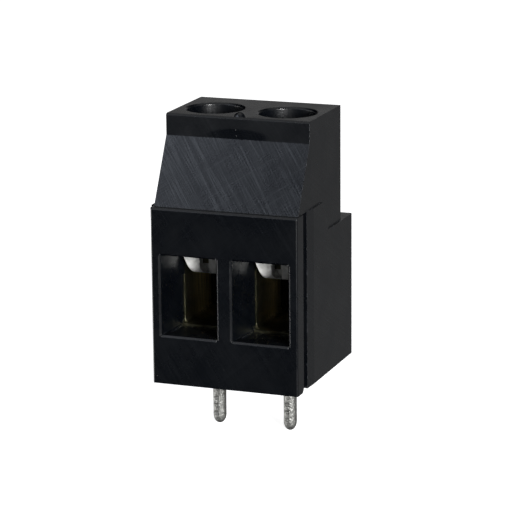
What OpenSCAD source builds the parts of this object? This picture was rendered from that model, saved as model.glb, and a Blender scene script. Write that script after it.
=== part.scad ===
// Two-pole screw terminal for a printed circuit board, with rising clamp cages.
// X runs along the row of poles, +Y to the back and +Z up. The origin lies on the board,
// midway between the two solder pins. The wires enter from -Y and the screws turn from the top.
// Depths are counted from the front face, so each module starts inside from_front().

/* [Poles] */
// Distance from one pole to the next
pitch = 5.08; // [5:0.01:7.5]
// Distance from the front face back to the solder pins
pin_setback = 5.5; // [5.3:0.1:6.5]
// Distance from the front face back to the screw axes
screw_setback = 5.35; // [5.3:0.05:5.9]

/* [Housing] */
// Height of the housing above the board
body_h = 17.6; // [17.1:0.05:20]
// Depth of the lower body from front to back
body_depth = 11.2; // [10.9:0.1:12.5]
// Height of the front plate and of the side shoulders beside it
plate_h = 11.85; // [11.4:0.05:12.6]
// Thickness of the front plate where the side groove begins
plate_t = 1.15; // [0.9:0.05:1.4]
// Width of the small step on top of the front plate
slope_step = 0.48; // [0.3:0.02:0.7]
// Distance from the front face back to the upright lip above the slope
lip_setback = 2.75; // [2.4:0.05:2.9]
// Height of the upright lip
lip_h = 1.44; // [1:0.02:2]
// How far the tower sides lie inside the sides of the lower body
tower_inset = 0.1; // [0.05:0.01:0.15]
// Height of the ledge behind the tower
ledge_h = 9.8; // [9.3:0.1:11]
// Wall behind the clamps in the tower
tower_wall = 0.55; // [0.4:0.05:1.5]
// Radius of the driver wells
well_r = 1.9; // [1.8:0.05:1.95]
// Chamfer on the well rims and the plain outer edges
edge_chamfer = 0.12; // [0.05:0.01:0.16]
// Radius on the back corners of the lower body
back_corner_r = 0.35; // [0.2:0.05:0.6]
// Radius of the small pip on the top face
pip_r = 0.38; // [0.3:0.02:0.44]
// Height of the small pip on the top face
pip_h = 0.27; // [0.1:0.01:0.3]

/* [Wire entries] */
// Width of a wire entry at the front face
entry_w = 3.9; // [3.6:0.05:4.3]
// Height of a wire entry
entry_h = 5.4; // [5:0.05:5.8]
// Height of the sill below a wire entry
sill_h = 3.3; // [3.1:0.05:3.8]
// How far each entry is shifted towards the middle of the block
entry_shift = 0.05; // [0:0.01:0.08]
// Depth of the step in the floor of a wire entry
floor_step = 0.12; // [0.05:0.01:0.2]

/* [Side dovetail] */
// Width of the groove at the side face
groove_w = 0.85; // [0.6:0.05:0.95]
// Depth of the groove
groove_depth = 0.45; // [0.3:0.05:0.5]
// How much wider the groove is at its floor, on each edge
groove_flare = 0.08; // [0.04:0.01:0.12]
// Play between the tongue of one block and the groove of the next, on each face
tongue_play = 0.08; // [0.04:0.01:0.12]
// Width of the sloping strip behind the groove
strip_w = 1.2; // [0.8:0.1:1.6]
// How far that strip falls away towards the groove
strip_fall = 0.06; // [0.03:0.01:0.1]

/* [Clamp cage] */
// Clear width inside a cage
cage_inner_w = 3.3; // [3:0.05:3.4]
// Thickness of the cage sides
cage_side_t = 0.45; // [0.35:0.05:0.5]
// Thickness of the cage floor
cage_floor_t = 0.55; // [0.4:0.05:0.7]
// Thickness of the threaded top of a cage
cage_top_t = 1.8; // [1.4:0.1:2.2]
// Length of a cage from front to back
cage_len = 4.8; // [4.6:0.1:5.2]
// How far the cage sides reach in front of the screw axis
cage_reach = 1.75; // [1.6:0.05:1.75]
// How far the cage floor reaches in front of the cage sides
cage_lip = 0.45; // [0.2:0.05:0.45]
// Height of the wire space when a clamp is fully open
wire_gap = 3.45; // [3:0.05:3.6]
// Height of the wire space when a clamp is fully raised
closed_gap = 0.2; // [0.1:0.05:1]

/* [Contact] */
// Distance from the front face back to the guard tabs
guard_setback = 3; // [2.9:0.05:3]
// Thickness of the contact metal
contact_t = 0.6; // [0.5:0.05:0.65]
// Width of the contact bar inside a cage
bar_w = 1.9; // [1.6:0.1:2.4]
// Width of a guard tab at its top
guard_w = 3.1; // [2.4:0.1:3.1]
// Height of a guard tab above the underside of the contact bar
guard_h = 1.9; // [1.6:0.05:2]
// Height over which a guard tab widens from the bar to its full width
guard_flare_h = 1.4; // [1:0.1:1.8]
// Width of the notch in a guard tab
notch_w = 0.64; // [0.4:0.02:0.9]
// Radius of a solder pin
pin_r = 0.45; // [0.35:0.01:0.5]
// Length of a solder pin below the board face
pin_len = 4.15; // [3:0.05:5]
// Thickness of a solder pin across its two coined flats
pin_flat_w = 0.84; // [0.68:0.01:0.9]

/* [Screw] */
// Radius of a screw head
head_r = 2; // [1.95:0.01:2.05]
// Height of a screw head
head_h = 1.9; // [1.4:0.1:2.4]
// Width of the driver slot
slot_w = 0.6; // [0.4:0.05:0.9]
// Depth of the driver slot
slot_depth = 0.9; // [0.6:0.05:1.2]
// Radius of the screw over its thread
thread_r = 1.25; // [1.1:0.05:1.3]

/* [Hidden] */
$fn = 64;

bore_play = 0.05;     // radial running clearance of a screw in its cage
slide_play = 0.05;    // gap between a cage and the side of its pocket
end_play = 0.1;       // gap above and below what turns or travels
seat_play = 0.02;     // gap between parts that rest on each other
over = 1;             // how far a cutter reaches past the face it opens
fillet = 0.3;         // inner radius of folded and extruded metal
bend_r = fillet + contact_t;

body_w = 2 * pitch;
tower_w = body_w - 2 * tower_inset;

// Clamp, from front to back
guard_back = guard_setback + contact_t;
cage_front = screw_setback - cage_reach;
cage_top_front = guard_back + end_play;
cage_back = cage_front + cage_len;
cage_w = cage_inner_w + 2 * cage_side_t;
pocket_w = cage_w + 2 * slide_play;
pocket_front = cage_front - end_play;
pocket_back = cage_back + end_play;
lip_w = cage_inner_w;
lip_slot_w = lip_w + 2 * slide_play;
lip_slot_front = pocket_front - cage_lip;
tower_depth = pocket_back + tower_wall;
leg_gap = 0.3;
leg_front = pocket_back + leg_gap;
leg_back = leg_front + contact_t;
leg_slot_back = leg_back + end_play;
leg_slot_w = bar_w + 6 * end_play;

// Clamp, from the board up, with the clamp fully open
cage_floor_top = sill_h;
cage_bottom = cage_floor_top - cage_floor_t;
bar_bottom = cage_floor_top + wire_gap;
bar_top = bar_bottom + contact_t;
window_top = bar_top + end_play;
cage_top = window_top + cage_top_t;
travel = wire_gap - closed_gap;
lip_slot_top = sill_h + travel + end_play;
pocket_top = cage_top + travel + 2 * end_play;
head_bottom = pocket_top + 2 * end_play;
head_top = head_bottom + head_h;
chamber_top = head_top + 1.5 * end_play;
well_depth = body_h - chamber_top;
lip_bottom = body_h - lip_h;
chamber_r = head_r + 3 * seat_play;
foot_bottom = 0.4;
foot_top = foot_bottom + contact_t;
foot_reach = 1.6;           // how far the foot reaches in front of the pin
foot_front = pin_setback - foot_reach;
foot_w = pocket_w - 4 * seat_play;
dimple_r = 1;
dimple_depth = 0.12;
tip_clearance = 0.15;
leg_headroom = 0.8;
leg_slot_top = bar_top + leg_headroom;
notch_run = 0.45;           // how far the notch runs back into the bar
notch_floor = 0.1;          // metal left below the notch

// Housing details
plate_round = 0.12;
tower_round = 0.2;
shoulder_back = 5;          // where the side shoulder starts to fall to the ledge height
shoulder_run = 1.1;         // length over which it falls
rim_depth = 0.95;           // depth of the sill before the floor of the entry steps down
entry_end_w = cage_inner_w;
foot_chamfer = 0.2;         // on the bottom corner of the plate beside the groove
pip_setback = lip_setback + pip_r + edge_chamfer;
well_bevel = 0.1;           // how far the rim chamfer's cutter reaches above the top face

// Pin details
tip_len = 0.62;
dent_pitch = 0.52;
dent_depth = 0.1;
dent_r = 0.15;
dent_w = 0.6;
dent_shift = 0.22;          // the dents lie left of the middle of the pin's front
first_dent = -2.3;

module from_front() { translate([0, -pin_setback, 0]) children(); }

// Extrudes a shape drawn as (distance from the front, height) along X.
module along_x(width) { rotate([90, 0, 90]) linear_extrude(width, center = true) children(); }

// Extrudes a shape drawn as (x, height) from depth y0 back to depth y1.
module along_y(y0, y1) { translate([0, y1, 0]) rotate([90, 0, 0]) linear_extrude(y1 - y0) children(); }

module at_pole(side) { translate([side * pitch / 2, 0, 0]) children(); }

// Waste piece that rounds a corner at the origin of a shape lying in the +x +y quadrant.
module corner_waste(r) {
    difference() {
        translate([-over, -over]) square(r + over);
        translate([r, r]) circle(r);
        translate([0, r]) square([r, over]);
        translate([r, 0]) square([over, r]);
    }
}

// Rounds the upright edge at (x, y); qx and qy point from the edge into the solid.
module round_upright(x, y, qx, qy, r, z0, z1) {
    translate([x, y, z0]) mirror([qx < 0 ? 1 : 0, 0, 0]) mirror([0, qy < 0 ? 1 : 0, 0])
        linear_extrude(z1 - z0) corner_waste(r);
}

// ---------------------------------------------------------------- housing

// Side view of the lower body: front plate, shoulder, and the ledge at the back.
module lower_profile() {
    c = edge_chamfer;
    polygon([
        [0, 0], [body_depth, 0], [body_depth, ledge_h - c], [body_depth - c, ledge_h],
        [shoulder_back + shoulder_run, ledge_h], [shoulder_back, plate_h],
        [c, plate_h], [0, plate_h - c]
    ]);
}

// Side view of the tower: slope, upright lip, top face and back.
module tower_profile() {
    c = edge_chamfer;
    polygon([
        [slope_step, ledge_h - over], [tower_depth, ledge_h - over],
        [tower_depth, body_h - c], [tower_depth - c, body_h],
        [lip_setback + c, body_h], [lip_setback, body_h - c],
        [lip_setback, lip_bottom], [slope_step, plate_h]
    ]);
}

module groove_plan(play) {
    w = groove_w - 2 * play;
    d = groove_depth - play;
    flare = groove_flare;
    polygon([[0, -w / 2], [0, w / 2], [d, w / 2 + flare], [d, -w / 2 - flare]]);
}

// Groove in the right side that takes the tongue of the next block, with its sloping strip.
module side_groove() {
    mid = plate_t + groove_w / 2;
    strip_y = plate_t + groove_w;
    translate([body_w / 2, mid, -over]) mirror([1, 0, 0]) linear_extrude(plate_h + over) groove_plan(0);
    translate([body_w / 2, strip_y, -over]) linear_extrude(plate_h + over)
        polygon([[over, 0], [-strip_fall, 0], [0, strip_w], [over, strip_w]]);
    translate([body_w / 2 - groove_depth, plate_t, 0]) rotate([90, 0, 90]) linear_extrude(groove_depth + over)
        polygon([[-foot_chamfer, 0], [0, foot_chamfer], [foot_chamfer, 0], [0, -foot_chamfer]]);
}

// Tongue on the left side, a little smaller than the groove.
module side_tongue() {
    mid = plate_t + groove_w / 2;
    root = 0.1;
    translate([-body_w / 2, mid, foot_chamfer]) mirror([1, 0, 0])
        linear_extrude(plate_h - tongue_play - foot_chamfer) groove_plan(tongue_play);
    translate([-body_w / 2 - root / 2, mid - groove_w / 2 + tongue_play, foot_chamfer])
        cube([root, groove_w - 2 * tongue_play, plate_h - tongue_play - foot_chamfer]);
}

// Small dome between the two wells.
module pip() {
    ball_r = (pip_r * pip_r + pip_h * pip_h) / (2 * pip_h);
    intersection() {
        translate([0, pip_setback, body_h + pip_h - ball_r]) sphere(ball_r);
        translate([0, pip_setback, body_h - 0.1]) cylinder(r = pip_r + 0.1, h = over);
    }
}

// Space for one wire, from the front face in to the cage.
module wire_entry() {
    c = edge_chamfer;
    translate([0, 0, sill_h]) linear_extrude(entry_h) polygon([
        [-entry_w / 2 - over - c, -over], [entry_w / 2 + over + c, -over],
        [entry_w / 2, c], [entry_end_w / 2, pocket_front],
        [entry_end_w / 2, pocket_front + end_play], [-entry_end_w / 2, pocket_front + end_play],
        [-entry_end_w / 2, pocket_front], [-entry_w / 2, c]
    ]);
    along_x(entry_w) polygon([
        [-over, sill_h - c - over], [c, sill_h], [c, sill_h + entry_h], [-over, sill_h + entry_h + c + over]
    ]);
    translate([-entry_end_w / 2, rim_depth, sill_h - floor_step])
        cube([entry_end_w, pocket_front, floor_step + over]);
}

// Everything that is hollow around one pole.
module pole_hollow() {
    c = edge_chamfer;
    translate([-pocket_w / 2, pocket_front, -over])
        cube([pocket_w, pocket_back - pocket_front, pocket_top + over]);
    translate([-lip_slot_w / 2, lip_slot_front, -over])
        cube([lip_slot_w, pocket_front - lip_slot_front + over, lip_slot_top + over]);
    translate([-leg_slot_w / 2, pocket_back - over, -over])
        cube([leg_slot_w, leg_slot_back - pocket_back + over, leg_slot_top + over]);
    translate([-pocket_w / 2, pocket_back - over, -over])
        cube([pocket_w, leg_slot_back - pocket_back + over, foot_top + seat_play + over]);
    translate([0, screw_setback, pocket_top - over])
        cylinder(r = chamber_r, h = chamber_top - pocket_top + over);
    translate([0, screw_setback, chamber_top - over]) cylinder(r = well_r, h = well_depth + 2 * over);
    translate([0, screw_setback, body_h - c])
        cylinder(r1 = well_r, r2 = well_r + c + well_bevel, h = c + well_bevel);
}

module housing() {
    top = body_h + over;
    color([0.10, 0.10, 0.12]) from_front() {
        difference() {
            union() {
                along_x(body_w) lower_profile();
                along_x(tower_w) tower_profile();
            }
            side_groove();
            for (side = [-1, 1]) {
                at_pole(side) pole_hollow();
                at_pole(side) translate([-side * entry_shift, 0, 0]) wire_entry();
                round_upright(side * body_w / 2, 0, -side, 1, plate_round, -over, plate_h + over);
                round_upright(side * body_w / 2, body_depth, -side, -1, back_corner_r, -over, ledge_h + over);
                round_upright(side * tower_w / 2, tower_depth, -side, -1, tower_round, ledge_h, top);
            }
        }
        side_tongue();
        pip();
    }
}

// ---------------------------------------------------------------- contacts

// Front view of the guard tab and bar: it widens upwards from the width of the bar.
module guard_shape() {
    flare_top = bar_bottom + guard_flare_h;
    guard_top = bar_bottom + guard_h;
    polygon([
        [-bar_w / 2, bar_bottom], [bar_w / 2, bar_bottom],
        [guard_w / 2, flare_top], [guard_w / 2, guard_top],
        [-guard_w / 2, guard_top], [-guard_w / 2, flare_top]
    ]);
}

// Front view of the notch, round at the bottom and open at the top of the tab.
module notch_shape() {
    notch_centre = bar_bottom + notch_floor + notch_w / 2;
    translate([0, notch_centre]) circle(notch_w / 2);
    translate([-notch_w / 2, notch_centre]) square([notch_w, guard_h]);
}

// Quarter bend of the strip, seen from the side, about a centre at the origin; it fills the -x -y quarter.
module quarter_bend() {
    intersection() {
        difference() {
            circle(bend_r);
            circle(fillet);
        }
        translate([-bend_r, -bend_r]) square(bend_r);
    }
}

// Guard tab with the bend below it, seen from the side.
module guard_profile() {
    translate([guard_setback, bar_bottom + bend_r]) square([contact_t, guard_h - bend_r]);
    translate([guard_setback + bend_r, bar_bottom + bend_r]) quarter_bend();
}

// Bar, rear bend and leg: the strip inside and behind the cage, seen from the side.
module bar_profile() {
    bar_front = guard_setback + bend_r;
    bend_z = foot_bottom + bend_r;
    translate([bar_front, bar_bottom]) square([leg_back - bend_r - bar_front, contact_t]);
    translate([leg_back - bend_r, bar_top - bend_r]) rotate(180) quarter_bend();
    translate([leg_front, bend_z]) square([contact_t, bar_top - bend_r - bend_z]);
    translate([leg_back - bend_r, bend_z]) rotate(90) quarter_bend();
}

// Round solder pin with two coined flats, a bullet tip and three small dents across its front.
module solder_pin() {
    root = foot_bottom + seat_play;
    difference() {
        intersection() {
            rotate_extrude() polygon([
                for (a = [0:15:90]) [pin_r * sin(a), tip_len - pin_len - tip_len * cos(a)],
                [pin_r, root], [0, root]
            ]);
            translate([-pin_flat_w / 2, -over, -pin_len - over])
                cube([pin_flat_w, 2 * over, pin_len + 3 * over]);
        }
        for (i = [0:2])
            translate([-dent_shift, -pin_r - dent_r + dent_depth, first_dent - i * dent_pitch])
                rotate([0, 90, 0]) cylinder(r = dent_r, h = dent_w, center = true);
    }
}

module contact(side) {
    color([0.78, 0.78, 0.76]) {
        from_front() at_pole(side) {
            difference() {
                union() {
                    intersection() {
                        along_x(guard_w) guard_profile();
                        along_y(guard_setback - over, guard_setback + bend_r + over) guard_shape();
                    }
                    along_x(bar_w) bar_profile();
                    translate([-foot_w / 2, foot_front, foot_bottom])
                        cube([foot_w, leg_back - bend_r - foot_front, contact_t]);
                }
                along_y(guard_setback - over, guard_back + notch_run) notch_shape();
                translate([0, screw_setback, bar_top - dimple_depth]) cylinder(r = dimple_r, h = over);
            }
        }
        at_pole(side) solder_pin();
    }
}

module contact_left() { contact(-1); }
module contact_right() { contact(1); }

// ---------------------------------------------------------------- cages

// Rectangle with its four corners rounded, standing on y0.
module round_rect(w, h, r, y0) {
    translate([-w / 2 + r, y0]) square([w - 2 * r, h]);
    translate([-w / 2, y0 + r]) square([w, h - 2 * r]);
    for (sx = [-1, 1], y = [y0 + r, y0 + h - r]) translate([sx * (w / 2 - r), y]) circle(r);
}

// Front view of a cage: a closed loop with a thin floor and a thick top.
module cage_shape() {
    difference() {
        round_rect(cage_w, cage_top - cage_bottom, fillet, cage_bottom);
        round_rect(cage_inner_w, window_top - cage_floor_top, fillet, cage_floor_top);
    }
}

module cage(side) {
    front_cut = cage_top_front - cage_front;
    color([0.80, 0.62, 0.28]) from_front() at_pole(side) difference() {
        union() {
            along_y(cage_front, cage_back) cage_shape();
            translate([-lip_w / 2, cage_front - cage_lip, cage_bottom])
                cube([lip_w, cage_lip + fillet, cage_floor_t]);
        }
        translate([-cage_w, cage_front - over, window_top])
            cube([2 * cage_w, front_cut + over, cage_top_t + over]);
        translate([0, screw_setback, window_top - over])
            cylinder(r = thread_r + bore_play, h = cage_top_t + 2 * over);
    }
}

module cage_left() { cage(-1); }
module cage_right() { cage(1); }

// ---------------------------------------------------------------- screws

module screw(side) {
    tip_z = bar_top - dimple_depth + seat_play;
    tip_r = dimple_r - tip_clearance;
    tip_h = thread_r - tip_r;
    c = edge_chamfer;
    color([0.72, 0.72, 0.74]) from_front() at_pole(side) translate([0, screw_setback, 0]) difference() {
        rotate_extrude() polygon([
            [0, tip_z], [tip_r, tip_z], [thread_r, tip_z + tip_h], [thread_r, head_bottom],
            [head_r, head_bottom], [head_r, head_top - c], [head_r - c, head_top], [0, head_top]
        ]);
        translate([-slot_w / 2, -head_r - over, head_top - slot_depth])
            cube([slot_w, 2 * (head_r + over), over + slot_depth]);
    }
}

module screw_left() { screw(-1); }
module screw_right() { screw(1); }

housing();
contact_left();
contact_right();
cage_left();
cage_right();
screw_left();
screw_right();
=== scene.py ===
"""Dresses the two-pole screw terminal: camera, studio light, finishes and the slotted screws."""
import math

import bpy
from mathutils import Matrix, Vector


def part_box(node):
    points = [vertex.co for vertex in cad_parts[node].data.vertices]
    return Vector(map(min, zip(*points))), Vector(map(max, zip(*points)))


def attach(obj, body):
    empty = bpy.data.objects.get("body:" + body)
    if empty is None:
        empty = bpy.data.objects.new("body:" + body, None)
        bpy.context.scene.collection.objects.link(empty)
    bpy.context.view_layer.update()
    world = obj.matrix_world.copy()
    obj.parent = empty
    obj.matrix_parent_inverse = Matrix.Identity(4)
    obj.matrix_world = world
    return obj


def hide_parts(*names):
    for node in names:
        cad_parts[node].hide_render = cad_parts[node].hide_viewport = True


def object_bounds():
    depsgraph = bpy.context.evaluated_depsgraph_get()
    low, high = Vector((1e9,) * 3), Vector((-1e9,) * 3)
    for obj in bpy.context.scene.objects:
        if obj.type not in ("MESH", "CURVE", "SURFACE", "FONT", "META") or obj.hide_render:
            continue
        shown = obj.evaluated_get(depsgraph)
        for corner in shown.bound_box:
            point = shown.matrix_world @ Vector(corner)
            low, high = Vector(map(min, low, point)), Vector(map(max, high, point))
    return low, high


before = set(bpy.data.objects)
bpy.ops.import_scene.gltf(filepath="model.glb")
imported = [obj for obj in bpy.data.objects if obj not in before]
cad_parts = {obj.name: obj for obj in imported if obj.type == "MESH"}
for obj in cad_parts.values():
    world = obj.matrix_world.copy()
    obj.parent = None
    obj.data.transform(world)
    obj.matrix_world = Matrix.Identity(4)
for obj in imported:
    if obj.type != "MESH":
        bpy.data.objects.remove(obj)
cad_low, cad_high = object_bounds()

MM = 0.001
SIDES = {"left": -1, "right": 1}
housing_low, housing_high = (Vector(corner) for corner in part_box("housing"))
screw_low, screw_high = (Vector(corner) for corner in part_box("screw_right"))
half_pitch = (screw_low.x + screw_high.x) / 2
screw_y = (screw_low.y + screw_high.y) / 2

# The camera stands to the front right of the block, a little above it, with a long lens.
CAMERA_PLACE = Vector((58.543, -153.824, 48.843)) * MM
CAMERA_AZIMUTH = 20.777
CAMERA_ELEVATION = 14.032
CAMERA_ROLL = -0.536
LENS = 179.1

# The slotted clamp screw.
HEAD_H = 1.9 * MM
HEAD_ROUNDING = 0.14 * MM
SLOT_W = 0.6 * MM
SLOT_DEPTH = 0.9 * MM
THREAD_R = 1.25 * MM
THREAD_PITCH = 0.5 * MM
THREAD_DEPTH = 0.24 * MM
CREST_PLAY = 0.005 * MM    # keeps the crest just inside the thread radius
TIP_H = 0.3 * MM
TIP_TAPER = 0.28 * MM
RUN_OUT = 0.2 * MM         # plain shank under the head
OVERLAP = 0.1 * MM         # how far one part of a screw reaches into the next

# Directions and heights that the finishes follow, painted shade and painted light among them.
SLOPE_UP = Vector((0, 0.469, 0.883))
SLOPE_OUT = Vector((0, -0.883, 0.469))
LIP_FOOT = 15.0 * MM
LIP_FADE = 15.2 * MM
OVAL_Z = 16.35 * MM
OVAL_HALF_W = 2.1 * MM
OVAL_HALF_H = 0.5 * MM
# Height below which the pins' tin colour is painted darker as shade.
PIN_SHADE_TOP_Z = 1 * MM
# Between these two depths the brass goes from painted shade at the mouth to a painted golden lit patch deeper
# in.
PAINTED_LIGHT_START_Y = -1.5 * MM
PAINTED_LIGHT_FULL_Y = 1.5 * MM
GRAIN_DEPTH = 0.03 * MM
SCRATCH_STRETCH = 40       # changes per metre along a scratch, against thousands across it

# Lamp: azimuth, elevation, distance, width, height, power, colour.
LAMPS = {
    "key_right": (43, 12, 0.4, 0.08, 0.08, 2.85, (1, 1, 1)),
    "slope_box": (-50, 38, 0.16, 0.1, 0.1, 0.051, (0.90, 0.97, 1.12)),
    "back_left": (-166, 12, 0.07, 0.05, 0.03, 0.0010, (1, 1, 1)),
    "left": (-75, -5, 0.3, 0.15, 0.2, 0.5, (1, 1, 1)),
}

# What the faces mirror from far away: azimuth, elevation, radius of its full part, radius at
# which it has faded out, and its level.
SURROUND = {
    "front_left_low": (-20, -14, 8, 40, 0.038),
    "left_low": (-80, -14, 14, 40, 2.0),
    "right_low": (70, -14, 20, 55, 0.12),
    "behind_low": (157, -18, 25, 60, 0.155),
    "above": (0, 90, 15, 48, 0.6),
}
SOFT_LEVEL = 0.04
FLOOR_GLOW = 0.93
FLOOR_WHITE = (0.8, 0.8, 0.8, 1)
FLOOR_DIM = (0.2, 0.2, 0.2, 1)


# ---------------------------------------------------------------- camera and light

def towards(azimuth, elevation):
    """Unit vector to a place seen from the block; azimuth 0 is in front of it, 90 to its right."""
    a, e = math.radians(azimuth), math.radians(elevation)
    return Vector((math.sin(a) * math.cos(e), -math.cos(a) * math.cos(e), math.sin(e)))


def add_camera():
    roll = math.radians(CAMERA_ROLL)
    back = towards(CAMERA_AZIMUTH, CAMERA_ELEVATION)
    level = Vector((math.cos(math.radians(CAMERA_AZIMUTH)), math.sin(math.radians(CAMERA_AZIMUTH)), 0))
    up = back.cross(level)
    right = level * math.cos(roll) + up * math.sin(roll)
    true_up = up * math.cos(roll) - level * math.sin(roll)
    data = bpy.data.cameras.new("camera")
    data.sensor_width = 36
    data.lens = LENS
    data.clip_start = 0.005
    data.clip_end = 5
    camera = bpy.data.objects.new("camera", data)
    turn = Matrix((right, true_up, back)).transposed()
    camera.matrix_world = Matrix.Translation(CAMERA_PLACE) @ turn.to_4x4()
    bpy.context.collection.objects.link(camera)
    bpy.context.scene.camera = camera


def add_lamp(name, azimuth, elevation, distance, width, height, power, colour):
    """A soft box that looks at the middle of the block from the given direction."""
    target = (housing_low + housing_high) / 2
    out = towards(azimuth, elevation)
    data = bpy.data.lights.new(name, "AREA")
    data.shape = "RECTANGLE"
    data.size = width
    data.size_y = height
    data.energy = power
    data.color = colour
    lamp = bpy.data.objects.new(name, data)
    lamp.location = target + out * distance
    lamp.rotation_mode = "QUATERNION"
    lamp.rotation_quaternion = (-out).to_track_quat("-Z", "Y")
    bpy.context.collection.objects.link(lamp)


class Nodes:
    """Short calls that add and join the nodes of one tree."""

    def __init__(self, tree):
        self.tree = tree
        self.tree.nodes.clear()

    def add(self, kind, inputs=None, **settings):
        node = self.tree.nodes.new(kind)
        for key, value in settings.items():
            setattr(node, key, value)
        for key, value in (inputs or {}).items():
            self.feed(node.inputs[key], value)
        return node

    def feed(self, socket, value):
        if isinstance(value, bpy.types.Node):
            value = value.outputs[0]
        if isinstance(value, bpy.types.NodeSocket):
            self.tree.links.new(value, socket)
        else:
            socket.default_value = value

    def math(self, operation, a, b=0.0, clamp=False):
        return self.add("ShaderNodeMath", {0: a, 1: b}, operation=operation, use_clamp=clamp)

    def plus(self, a, b, clamp=False):
        return self.math("ADD", a, b, clamp)

    def minus(self, a, b):
        return self.math("SUBTRACT", a, b)

    def times(self, a, b):
        return self.math("MULTIPLY", a, b)

    def dot(self, a, b):
        """How far vector a goes along vector b."""
        return self.add("ShaderNodeVectorMath", {0: a, 1: b}, operation="DOT_PRODUCT").outputs["Value"]

    def split(self, vector):
        """The X, Y and Z of a vector."""
        return self.add("ShaderNodeSeparateXYZ", {0: vector}).outputs

    def noise(self, vector, scale, detail, roughness=0.5):
        return self.add("ShaderNodeTexNoise", {"Vector": vector, "Scale": scale, "Detail": detail,
                                               "Roughness": roughness})

    def ramp(self, value, low, high, start=0.0, end=1.0):
        """Smoothly maps low..high to start..end."""
        return self.add("ShaderNodeMapRange",
                        {"Value": value, "From Min": low, "From Max": high, "To Min": start, "To Max": end},
                        interpolation_type="SMOOTHSTEP")

    def blend(self, share, under, over):
        """Mixes two colours; each is a socket or three numbers."""
        mix = self.add("ShaderNodeMix", {0: share}, data_type="RGBA")
        for place, colour in ((6, under), (7, over)):
            self.feed(mix.inputs[place], (*colour, 1) if isinstance(colour, tuple) else colour)
        return mix.outputs[2]


def build_world():
    """White to the camera and nearly dark to matt surfaces. Mirrored rays see only the fields of
    SURROUND, and not the white."""
    world = bpy.data.worlds.new("studio")
    bpy.context.scene.world = world
    world.use_nodes = True
    n = Nodes(world.node_tree)
    path = n.add("ShaderNodeLightPath")
    place = n.add("ShaderNodeTexCoord").outputs["Generated"]
    mirrored = 0.0
    for azimuth, elevation, inner, outer, level in SURROUND.values():
        facing = n.dot(place, towards(azimuth, elevation))
        glow = n.ramp(facing, math.cos(math.radians(outer)), math.cos(math.radians(inner)))
        mirrored = n.plus(n.times(glow, level), mirrored)
    around = n.add("ShaderNodeMix", {"Factor": path.outputs["Is Glossy Ray"], "A": SOFT_LEVEL, "B": mirrored})
    seen = n.add("ShaderNodeMix", {"Factor": path.outputs["Is Camera Ray"], "A": around, "B": 1.0})
    back = n.add("ShaderNodeBackground", {"Color": (1, 1, 1, 1), "Strength": seen})
    n.add("ShaderNodeOutputWorld", {"Surface": back})


def new_material(name):
    paint = bpy.data.materials.new(name)
    paint.use_nodes = True
    return paint, Nodes(paint.node_tree)


def add_floor():
    """A pale floor at the pin tips. Most of its white is its own, so the shadow stays faint. It sends
    little light up at the block, and mirrored rays pass through it."""
    bpy.ops.mesh.primitive_plane_add(size=4, location=(0, 0, cad_low[2]))
    floor = bpy.context.object
    floor.name = "floor"
    paint, n = new_material("floor_white")
    path = n.add("ShaderNodeLightPath")
    card = n.add("ShaderNodeBsdfDiffuse", {"Color": FLOOR_WHITE})
    glow = n.add("ShaderNodeEmission", {"Color": (1, 1, 1, 1), "Strength": FLOOR_GLOW})
    to_camera = n.add("ShaderNodeAddShader", {0: card, 1: glow})
    to_block = n.add("ShaderNodeBsdfDiffuse", {"Color": FLOOR_DIM})
    seen = n.add("ShaderNodeMixShader", {"Fac": path.outputs["Is Camera Ray"], 1: to_block, 2: to_camera})
    n.add("ShaderNodeOutputMaterial", {"Surface": seen})
    floor.data.materials.append(paint)
    floor.visible_glossy = False


# ---------------------------------------------------------------- finishes

def hairlines(n, place, lean, spacing, width):
    """Fine broken scratches on the slope; lean is their angle from level, spacing how many there are."""
    a = math.radians(lean)
    along = Vector((math.cos(a), 0, 0)) + SLOPE_UP * math.sin(a)
    across = Vector((-math.sin(a), 0, 0)) + SLOPE_UP * math.cos(a)
    field = n.add("ShaderNodeCombineXYZ", {"X": n.dot(place, across * spacing),
                                           "Y": n.dot(place, along * SCRATCH_STRETCH), "Z": lean})
    wander = n.noise(field, 1.0, 0.5)
    off_line = n.math("ABSOLUTE", n.minus(wander, 0.5))
    line = n.ramp(off_line, 0.0, width, 1.0, 0.0)
    breaks = n.noise(place, 700.0 + lean, 2.0)
    return n.times(line, n.ramp(breaks, 0.30, 0.62, 0.3, 1.0))


def slope_scratches(n, place, face):
    """Scratches one way, fewer of them across, and only a trace of them off the slope."""
    most = n.plus(hairlines(n, place, -57, 8200, 0.050), hairlines(n, place, -51, 6400, 0.040))
    fewer = n.plus(hairlines(n, place, 36, 6200, 0.030), hairlines(n, place, -54, 4600, 0.025))
    both = n.plus(most, n.times(fewer, 0.7), clamp=True)
    on_slope = n.ramp(n.dot(face, SLOPE_OUT), 0.97, 0.995, 0.12, 1.0)
    return n.times(both, on_slope)


def edge_wear_and_highlight(n, edge, face, place):
    """Lighter colour where two faces meet, broken up along its length: partly wear, partly a painted edge
    highlight.
    """
    near = n.ramp(n.minus(1.0, n.dot(edge, face)), 0.015, 0.16)
    chips = n.noise(place, 3500.0, 3.0)
    return n.times(near, n.ramp(chips, 0.46, 0.68))


def dust_specks(n, place):
    """A small round speck in about one cell out of five."""
    cells = n.add("ShaderNodeTexVoronoi", {"Vector": place, "Scale": 1500.0})
    chosen = n.split(cells.outputs["Color"])["X"]
    return n.times(n.ramp(cells.outputs["Distance"], 0.03, 0.07, 1.0, 0.0), n.ramp(chosen, 0.80, 0.82))


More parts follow.
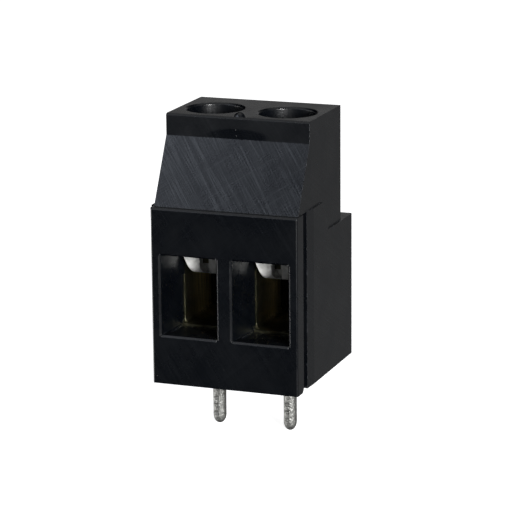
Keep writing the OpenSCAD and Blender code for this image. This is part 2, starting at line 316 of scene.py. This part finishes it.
def lip_dullness(n, place, face):
    """Extra roughness on the upright lip, but for a long smooth oval in its middle."""
    x, _, z = n.split(place)
    across = n.math("DIVIDE", x, OVAL_HALF_W)
    upward = n.math("DIVIDE", n.minus(z, OVAL_Z), OVAL_HALF_H)
    oval = n.plus(n.times(across, across), n.times(upward, upward))
    facing_front = n.ramp(n.times(n.split(face)["Y"], -1.0), 0.9, 0.98)
    on_lip = n.times(n.ramp(z, LIP_FOOT, LIP_FADE), facing_front)
    return n.times(on_lip, n.ramp(oval, 0.6, 1.2, -0.03, 0.10))


def black_nylon():
    """Moulded black plastic: cloudy gloss, scratches on the slope, edges lighter from wear and as a painted
    highlight, and a little dust.
    """
    paint, n = new_material("black_nylon")
    place = n.add("ShaderNodeTexCoord").outputs["Object"]
    face = n.add("ShaderNodeNewGeometry").outputs["True Normal"]
    edge = n.add("ShaderNodeBevel", {"Radius": 0.05 * MM}, samples=8)
    grain = n.noise(place, 9000.0, 4.0)
    cloud = n.noise(place, 420.0, 5.0, 0.6)
    bare = n.blend(n.ramp(grain, 0.35, 0.7), (0.0004, 0.0009, 0.0018), (0.0010, 0.0016, 0.0027))
    scratched = n.blend(slope_scratches(n, place, face), bare, (0.017, 0.019, 0.022))
    # Lighter edges: partly wear, partly a painted highlight along the edges.
    lit_and_worn_edges = n.blend(edge_wear_and_highlight(n, edge, face, place), scratched, (0.05, 0.053, 0.06))
    dusty = n.blend(dust_specks(n, place), lit_and_worn_edges, (0.05, 0.05, 0.05))
    roughness = n.plus(n.ramp(cloud, 0.1, 0.9, 0.21, 0.35), lip_dullness(n, place, face))
    bump = n.add("ShaderNodeBump", {"Height": grain, "Strength": 0.22, "Distance": GRAIN_DEPTH, "Normal": edge})
    skin = n.add("ShaderNodeBsdfPrincipled", {"Base Color": dusty, "Roughness": roughness, "Normal": bump})
    n.add("ShaderNodeOutputMaterial", {"Surface": skin})
    return paint


class Metal:
    """Metal whose colour and gloss wander between two values, with a grain of the given scale."""

    def __init__(self, name, thin, thick, scale, glossy, dull, strength):
        self.paint, n = new_material(name)
        self.nodes = n
        self.place = n.add("ShaderNodeTexCoord").outputs["Object"]
        edge = n.add("ShaderNodeBevel", {"Radius": 0.04 * MM}, samples=6)
        cloud = n.noise(self.place, scale / 4, 4.0)
        grain = n.noise(self.place, scale, 3.0)
        self.colour = n.blend(n.ramp(cloud, 0.35, 0.65), thin, thick)
        self.bump = n.add("ShaderNodeBump", {"Height": grain, "Strength": strength, "Distance": GRAIN_DEPTH,
                                             "Normal": edge})
        self.skin = n.add("ShaderNodeBsdfPrincipled", {
            "Base Color": self.colour, "Metallic": 1.0, "Roughness": n.ramp(grain, 0.3, 0.7, glossy, dull),
            "Normal": self.bump})
        n.add("ShaderNodeOutputMaterial", {"Surface": self.skin})


def tin_plate():
    """Dappled tin. On the pins its colour is painted much darker as shade; above the board it is bright and
    frosted.
    """
    tin = Metal("tin_plate", (0.70, 0.70, 0.67), (0.93, 0.93, 0.90), 7000.0, 0.42, 0.60, 0.8)
    n = tin.nodes
    above_board = n.ramp(n.split(tin.place)["Z"], 0.0, PIN_SHADE_TOP_Z)
    # Painted shade: the pins' colour is darkened well below the tin's own.
    pin_painted_shade = n.blend(0.85, tin.colour, (0.16, 0.16, 0.15))
    n.feed(tin.bump.inputs["Distance"], n.minus(0.10 * MM, n.times(above_board, 0.06 * MM)))
    n.feed(tin.skin.inputs["Metallic"], n.minus(0.9, n.times(above_board, 0.75)))
    n.feed(tin.skin.inputs["Base Color"], n.blend(above_board, pin_painted_shade, tin.colour))
    return tin.paint


def bare_brass():
    """Drawn brass, painted nearly black as shade at the mouth and painted golden as a lit patch further in."""
    # The near-black brass colour is painted shade at the mouth of the cage.
    brass = Metal("bare_brass", (0.13, 0.13, 0.085), (0.19, 0.18, 0.11), 5000.0, 0.3, 0.45, 0.3)
    n = brass.nodes
    drawn = n.add("ShaderNodeMapping", {"Vector": brass.place, "Scale": (9000, 9000, 500)})
    streaks = n.noise(drawn, 1.0, 3.0)
    # Painted light: the brass turns golden deeper in, standing in for a lit patch on the cage wall.
    painted_light_depth = n.ramp(n.split(brass.place)["Y"], PAINTED_LIGHT_START_Y, PAINTED_LIGHT_FULL_Y)
    painted_gold_light = n.times(painted_light_depth, n.ramp(streaks, 0.3, 0.7, 0.6, 1.0))
    n.feed(brass.skin.inputs["Base Color"], n.blend(painted_gold_light, brass.colour, (0.90, 0.76, 0.44)))
    return brass.paint


def zinc_plate():
    return Metal("zinc_plate", (0.55, 0.57, 0.60), (0.70, 0.71, 0.72), 4000.0, 0.22, 0.34, 0.25).paint


def dress(node, paint):
    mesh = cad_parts[node].data
    mesh.materials.clear()
    mesh.materials.append(paint)


# ---------------------------------------------------------------- clamp screws

def settle(piece):
    """Moves a new piece's place into its mesh, so that its object sits at the origin."""
    bpy.ops.object.select_all(action="DESELECT")
    piece.select_set(True)
    bpy.context.view_layer.objects.active = piece
    bpy.ops.object.transform_apply(location=True, rotation=True, scale=True)
    return piece


def apply_modifier(piece, kind, **settings):
    bpy.context.view_layer.objects.active = piece
    modifier = piece.modifiers.new(kind.lower(), kind)
    for key, value in settings.items():
        setattr(modifier, key, value)
    bpy.ops.object.modifier_apply(modifier=modifier.name)


def round_bar(radius_low, radius_high, x, low, high):
    """A bar or cone on a screw's axis, from one height to another."""
    bpy.ops.mesh.primitive_cone_add(vertices=64, radius1=radius_low, radius2=radius_high, depth=high - low,
                                    location=(x, screw_y, (low + high) / 2))
    return settle(bpy.context.object)


def screw_head(x, top):
    """A cheese head with a rounded rim and one driver slot from front to back."""
    head_r = (screw_high.x - screw_low.x) / 2
    head = round_bar(head_r, head_r, x, top - HEAD_H, top)
    apply_modifier(head, "BEVEL", width=HEAD_ROUNDING, segments=4, limit_method="ANGLE",
                   angle_limit=math.radians(50))
    bpy.ops.mesh.primitive_cube_add(size=1, location=(x, screw_y, top))
    cutter = bpy.context.object
    cutter.scale = (SLOT_W, 5 * head_r, 2 * SLOT_DEPTH)
    settle(cutter)
    apply_modifier(head, "BOOLEAN", operation="DIFFERENCE", object=cutter, solver="EXACT")
    bpy.data.objects.remove(cutter)
    return head


def screw_thread(x, low, high):
    """One ridge wound round the shank and closed at both ends."""
    turns = int((high - low) / THREAD_PITCH) - 1
    bpy.ops.mesh.primitive_circle_add(vertices=4, radius=THREAD_DEPTH, fill_type="NOTHING",
                                      rotation=(math.pi / 2, 0, 0),
                                      location=(THREAD_R - THREAD_DEPTH - CREST_PLAY, 0, 0))
    thread = settle(bpy.context.object)
    apply_modifier(thread, "SCREW", axis="Z", angle=math.tau, screw_offset=THREAD_PITCH, iterations=turns,
                   steps=40, render_steps=40, use_merge_vertices=False)
    bpy.ops.object.mode_set(mode="EDIT")
    bpy.ops.mesh.select_all(action="DESELECT")
    bpy.ops.mesh.select_mode(type="EDGE")
    bpy.ops.mesh.select_non_manifold()
    bpy.ops.mesh.fill_holes(sides=4)
    bpy.ops.mesh.select_all(action="SELECT")
    bpy.ops.mesh.normals_make_consistent(inside=False)
    bpy.ops.object.mode_set(mode="OBJECT")
    thread.location = (x, screw_y, low + THREAD_DEPTH)
    return settle(thread)


def add_screw(side, paint):
    """Slotted head, shank, wound thread and a short cone at the tip, joined as one piece."""
    x = SIDES[side] * half_pitch
    tip, top = screw_low.z, screw_high.z
    under_head = top - HEAD_H
    core = THREAD_R - THREAD_DEPTH
    parts = [screw_head(x, top),
             round_bar(core, core, x, tip + TIP_H, under_head + OVERLAP),
             round_bar(core - TIP_TAPER, core, x, tip, tip + TIP_H + OVERLAP / 10),
             screw_thread(x, tip + TIP_H + OVERLAP / 2, under_head - RUN_OUT)]
    bpy.ops.object.select_all(action="DESELECT")
    for part in parts:
        part.select_set(True)
    bpy.context.view_layer.objects.active = parts[0]
    bpy.ops.object.join()
    screw = bpy.context.object
    screw.name = "slotted_screw_" + side
    bpy.ops.object.shade_smooth_by_angle(angle=math.radians(35))
    screw.data.materials.clear()
    screw.data.materials.append(paint)
    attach(screw, "driver_" + side)
    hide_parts("screw_" + side)


# ---------------------------------------------------------------- the scene

add_camera()
bpy.context.scene.view_settings.view_transform = "Standard"
build_world()
add_floor()
for lamp_name, settings in LAMPS.items():
    add_lamp(lamp_name, *settings)

nylon, tin, brass, zinc = black_nylon(), tin_plate(), bare_brass(), zinc_plate()
dress("housing", nylon)
for side in SIDES:
    dress("contact_" + side, tin)
    dress("cage_" + side, brass)
    add_screw(side, zinc)
